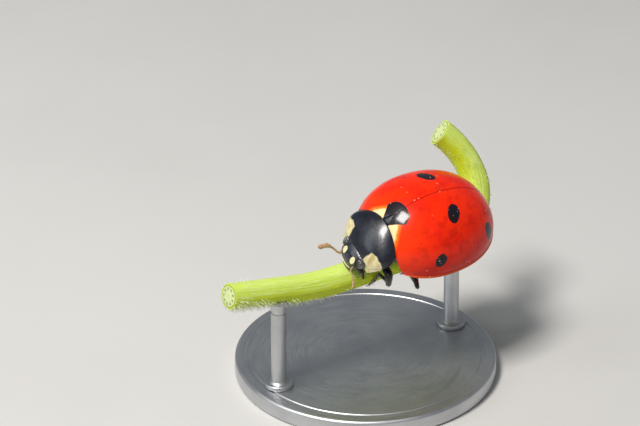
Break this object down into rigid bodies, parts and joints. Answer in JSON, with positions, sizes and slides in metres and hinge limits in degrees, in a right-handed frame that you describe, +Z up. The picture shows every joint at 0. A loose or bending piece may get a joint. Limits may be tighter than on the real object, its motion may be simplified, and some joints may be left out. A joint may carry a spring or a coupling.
{
  "type": "ladybird on a tendril perch with a display stand",
  "caption": "Life-size still model of a seven-spot ladybird gripping a cut length of green tendril, held on a small round display stand.",
  "frame": {"origin": "middle of the round base's underside, where the part rests", "axes": "+Z up; the animal faces -X, with its left side towards -Y and turned a little down"},
  "size_m": [0.0151, 0.012, 0.0099],
  "materials": {
    "wing_case": "glossy scarlet shell with black spots, fine punctures and a darker suture",
    "pronotum": "glossy black shell with a bluish sheen and a cream patch at each front corner",
    "head": "glossy black with two cream spots and a cream front edge",
    "eye": "glossy black compound eye with fine facets",
    "antenna": "satin orange-brown, with short hairs",
    "leg": "satin black, with short hairs, and brown claws",
    "underside": "satin black, finely punctured, with sparse pale hairs",
    "tendril": "satin yellow-green plant stem with fine ridges, a paler upper side and small pale hairs",
    "stand": "finely turned and brushed steel"
  },
  "bodies": {
    "root": {"abdomen": "underside", "antenna_left": "antenna", "antenna_right": "antenna", "eye_left": "eye", "eye_right": "eye", "front_femur_left": "leg", "front_femur_right": "leg", "front_tarsus_left": "leg", "front_tarsus_right": "leg", "front_tibia_left": "leg", "front_tibia_right": "leg", "head": "head", "hind_femur_left": "leg", "hind_femur_right": "leg", "hind_tarsus_left": "leg", "hind_tarsus_right": "leg", "hind_tibia_left": "leg", "hind_tibia_right": "leg", "middle_femur_left": "leg", "middle_femur_right": "leg", "middle_tarsus_left": "leg", "middle_tarsus_right": "leg", "middle_tibia_left": "leg", "middle_tibia_right": "leg", "mouth": "head", "palp_left": "head", "palp_right": "head", "perch_tendril": "tendril", "pronotum": "pronotum", "prosternum": "underside", "scutellum": "pronotum", "stand_base": "stand", "stand_rod_front": "stand", "stand_rod_rear": "stand", "thorax": "underside", "wing_case_left": "wing_case", "wing_case_right": "wing_case"}
  },
  "joints": []
}
